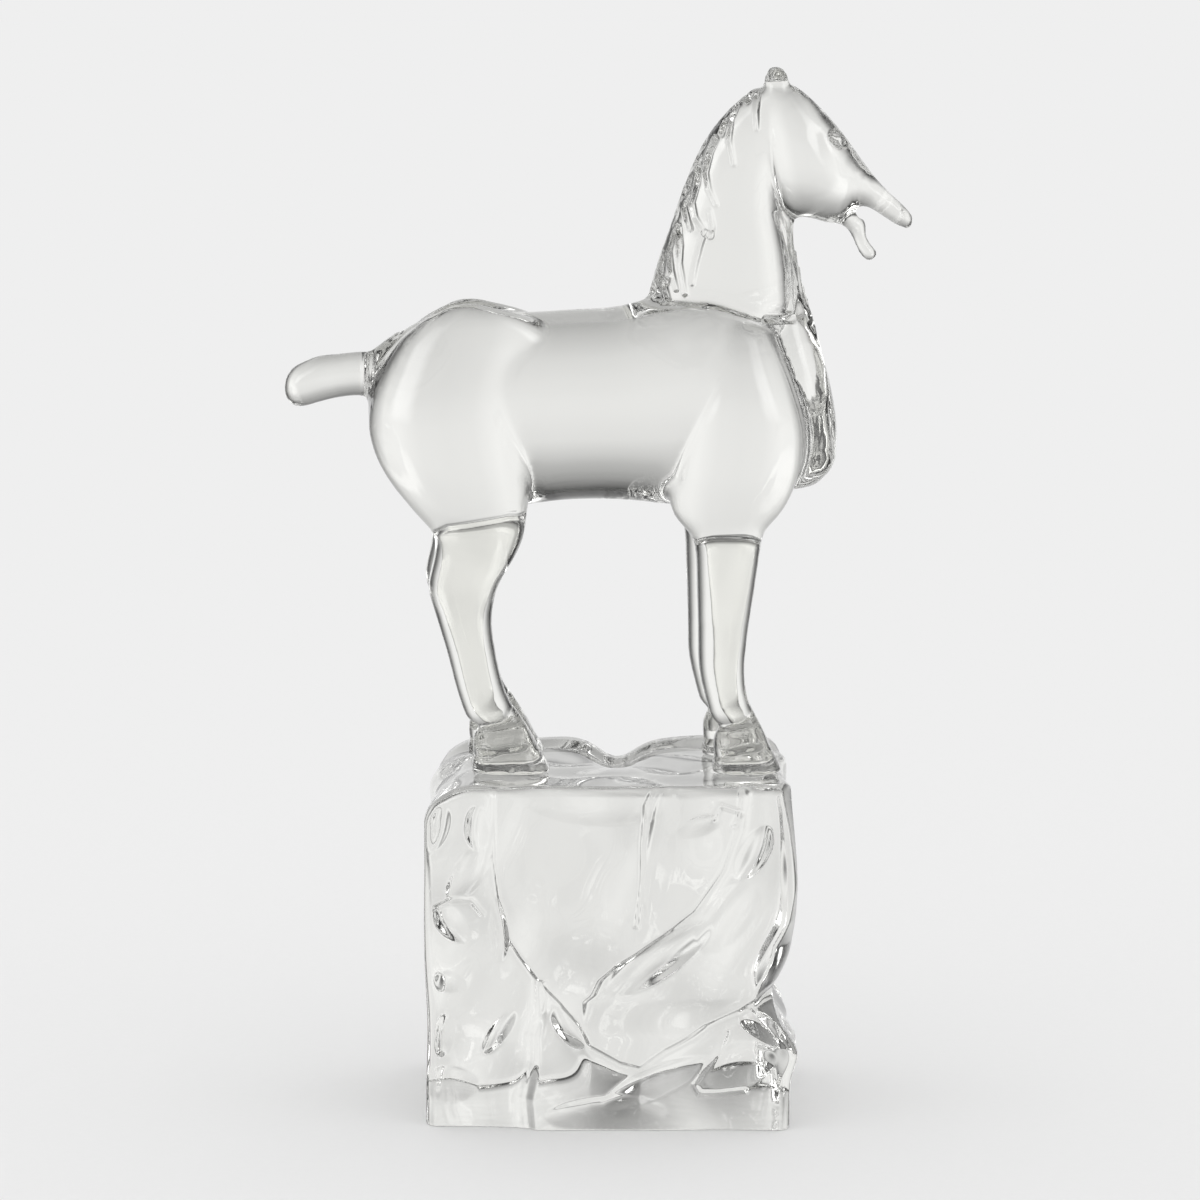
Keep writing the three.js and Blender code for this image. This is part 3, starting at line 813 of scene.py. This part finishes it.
horse.data.materials.clear()
horse.data.materials.append(clear_resin(
    "clear cast resin, polished", tint="#FAFAF7", wave_mm=24, wave_height=0.06, ground_z=SOLE_Z))
rock.data.materials.clear()
rock.data.materials.append(clear_resin(
    "clear cast resin, chipped rock", tint="#F6F6F3", wave_mm=16, wave_height=0.10, ground_z=-5.0))
print("materials:", horse.active_material.name, "and", rock.active_material.name)

# %% [markdown]
# ## Onto the frame
# Each finished piece rides on the frame's only body and takes the place of its measured solid.

# %% Attach the pieces
for piece, node, slot in ((horse, "horse", "horse_clear"), (rock, "rock_plinth", "rock_clear")):
    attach(piece, "root")
    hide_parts(node)
    print(piece.name, "takes the place of", node)

# %% [markdown]
# ## Floor, light and camera
# Clear resin has no colour of its own, so it only shows what is around it. The studio is a pale room whose
# light is strongest low behind the object and fades overhead. Two dark panels stand behind it at the
# sides, because the rounded edges bend the view towards them, and that draws the thin dark outlines.
# A bright softbox high up gives the white glints. Each stop of the two ramps holds its place, the level of
# the wall, the share of the softbox and a value for the front wall: its level by height, its share by side.

# %% Floor
FLOOR_GAP = 0.2

bpy.ops.object.select_all(action="DESELECT")
bpy.ops.mesh.primitive_circle_add(vertices=96, radius=40, fill_type="NGON", location=(0, 0, -FLOOR_GAP * MM))
floor = bpy.context.object
floor.name = "floor"
bpy.ops.object.transform_apply(location=True)
paper = bpy.data.materials.new("pale matt paper")
tree = fresh(paper)
place = add(tree, "ShaderNodeTexCoord")
fleck = add(tree, "ShaderNodeTexNoise", None, {"Scale": 1 / (3 * MM)}, {"Vector": place.outputs["Object"]})
tone = add(tree, "ShaderNodeMix", {"data_type": "RGBA"}, {"A": linear("#E6E6E6"), "B": linear("#E8E8E8")},
           {"Factor": fleck.outputs["Fac"]})
matt = add(tree, "ShaderNodeBsdfPrincipled", None, {"Roughness": 0.9, "Specular IOR Level": 0.0},
           {"Base Color": tone.outputs["Result"]})
add(tree, "ShaderNodeOutputMaterial", None, None, {"Surface": matt.outputs["BSDF"]})
floor.data.materials.append(paper)
floor.visible_transmission = False
floor.visible_glossy = False
print("floor of", paper.name)

# %% Studio light
HEIGHT_STOPS = [
    (0.00, 0.46, 0, 0.46), (0.08, 0.48, 0, 0.48), (0.20, 0.62, 0, 0.56), (0.30, 0.76, 0, 0.70),
    (0.38, 0.82, 0, 0.80), (0.49, 0.83, 0, 0.80), (0.53, 0.82, 0, 0.76), (0.57, 0.80, 0, 0.66),
    (0.62, 0.68, 0.6, 0.34), (0.68, 0.52, 1, 0.10), (0.78, 0.36, 1, 0.08), (0.90, 0.16, 0.2, 0.06),
    (1.00, 0.08, 0, 0.05)]
SIDE_STOPS = [
    (0.00, 1.00, 0, 0), (0.05, 1.02, 0, 0), (0.10, 1.14, 0, 0), (0.15, 1.12, 0, 0), (0.19, 0.80, 0, 0),
    (0.24, 0.35, 0, 0.2), (0.30, 0.05, 0, 0.8), (0.44, 0.05, 0, 1), (0.48, 0.95, 0, 1), (0.64, 1.00, 0, 1),
    (0.69, 1.00, 1, 1), (0.78, 1.00, 1, 1), (0.83, 1.00, 0, 1), (1.00, 1.00, 0, 1)]
SOFTBOX = 3.0
ROOM = 1.08

world = bpy.data.worlds.new("studio")
bpy.context.scene.world = world
world.cycles.sampling_method = "NONE"
tree = fresh(world)
ray = add(tree, "ShaderNodeLightPath")
place = add(tree, "ShaderNodeTexCoord")
way = add(tree, "ShaderNodeSeparateXYZ", None, None, {"Vector": place.outputs["Generated"]})
turn = add(tree, "ShaderNodeMath", {"operation": "ARCTAN2"}, None,
           {0: way.outputs["X"], 1: way.outputs["Y"]})
turn = add(tree, "ShaderNodeMath", {"operation": "ABSOLUTE"}, None, {0: turn.outputs[0]})
turn = add(tree, "ShaderNodeMath", {"operation": "DIVIDE"}, {1: pi}, {0: turn.outputs[0]})
tall = add(tree, "ShaderNodeMapRange", None, {"From Min": -1.0, "From Max": 1.0},
           {"Value": way.outputs["Z"]})
by_height = add(tree, "ShaderNodeValToRGB", None, None, {"Fac": tall.outputs["Result"]})
by_side = add(tree, "ShaderNodeValToRGB", None, None, {"Fac": turn.outputs[0]})
for node, stops in ((by_height, HEIGHT_STOPS), (by_side, SIDE_STOPS)):
    handles = node.color_ramp.elements
    while len(handles) < len(stops):
        handles.new(0.5)
    for handle, (where, level, box, front) in zip(handles, stops):
        handle.position = where
        handle.color = (level, box, front, 1)
heights = add(tree, "ShaderNodeSeparateColor", None, None, {"Color": by_height.outputs["Color"]})
sides = add(tree, "ShaderNodeSeparateColor", None, None, {"Color": by_side.outputs["Color"]})
wall = add(tree, "ShaderNodeMix", {"data_type": "FLOAT"}, None,
           {"Factor": sides.outputs["Blue"], "A": heights.outputs["Red"], "B": heights.outputs["Blue"]})
wall = add(tree, "ShaderNodeMath", {"operation": "MULTIPLY"}, None,
           {0: wall.outputs["Result"], 1: sides.outputs["Red"]})
box = add(tree, "ShaderNodeMath", {"operation": "MULTIPLY"}, None,
          {0: heights.outputs["Green"], 1: sides.outputs["Green"]})
studio = add(tree, "ShaderNodeMath", {"operation": "MULTIPLY_ADD"}, {1: SOFTBOX},
             {0: box.outputs[0], 2: wall.outputs[0]})
room = add(tree, "ShaderNodeMix", {"data_type": "FLOAT"}, {"B": ROOM},
           {"Factor": ray.outputs["Diffuse Depth"], "A": studio.outputs[0]})
backdrop = add(tree, "ShaderNodeMix", {"data_type": "FLOAT"}, {"B": linear("#EFEFEF")[0]},
               {"Factor": ray.outputs["Is Camera Ray"], "A": room.outputs["Result"]})
glow = add(tree, "ShaderNodeBackground", None, {"Color": linear("#FFFFFF")},
           {"Strength": backdrop.outputs["Result"]})
add(tree, "ShaderNodeOutputWorld", None, None, {"Surface": glow.outputs["Background"]})
print("light ramps have", len(HEIGHT_STOPS), "and", len(SIDE_STOPS), "stops")

# %% [markdown]
# The camera stands 1.6 metres away and eight degrees above the level of the aim, the middle of the
# sculpture. A long lens keeps the upright edges of the rock nearly parallel.

# %% Camera
CAMERA_AT, AIM_AT = Vector((0, -1.5844, 0.4054)), Vector((0, 0, 0.1827))

bpy.ops.object.select_all(action="DESELECT")
bpy.ops.object.camera_add(location=CAMERA_AT)
camera = bpy.context.object
camera.rotation_euler = (AIM_AT - camera.location).to_track_quat("-Z", "Y").to_euler()
camera.data.lens = 133.33
camera.data.sensor_width = 36
bpy.context.scene.camera = camera
print("camera looks along", tuple(round(part, 3) for part in (AIM_AT - CAMERA_AT).normalized()))

# %% [markdown]
# One ray crosses many clear surfaces, so it may bounce more often than usual.

# %% Render settings
scene = bpy.context.scene
scene.view_settings.view_transform = "Standard"
scene.cycles.max_bounces = 24
scene.cycles.transmission_bounces = 24
scene.cycles.glossy_bounces = 12
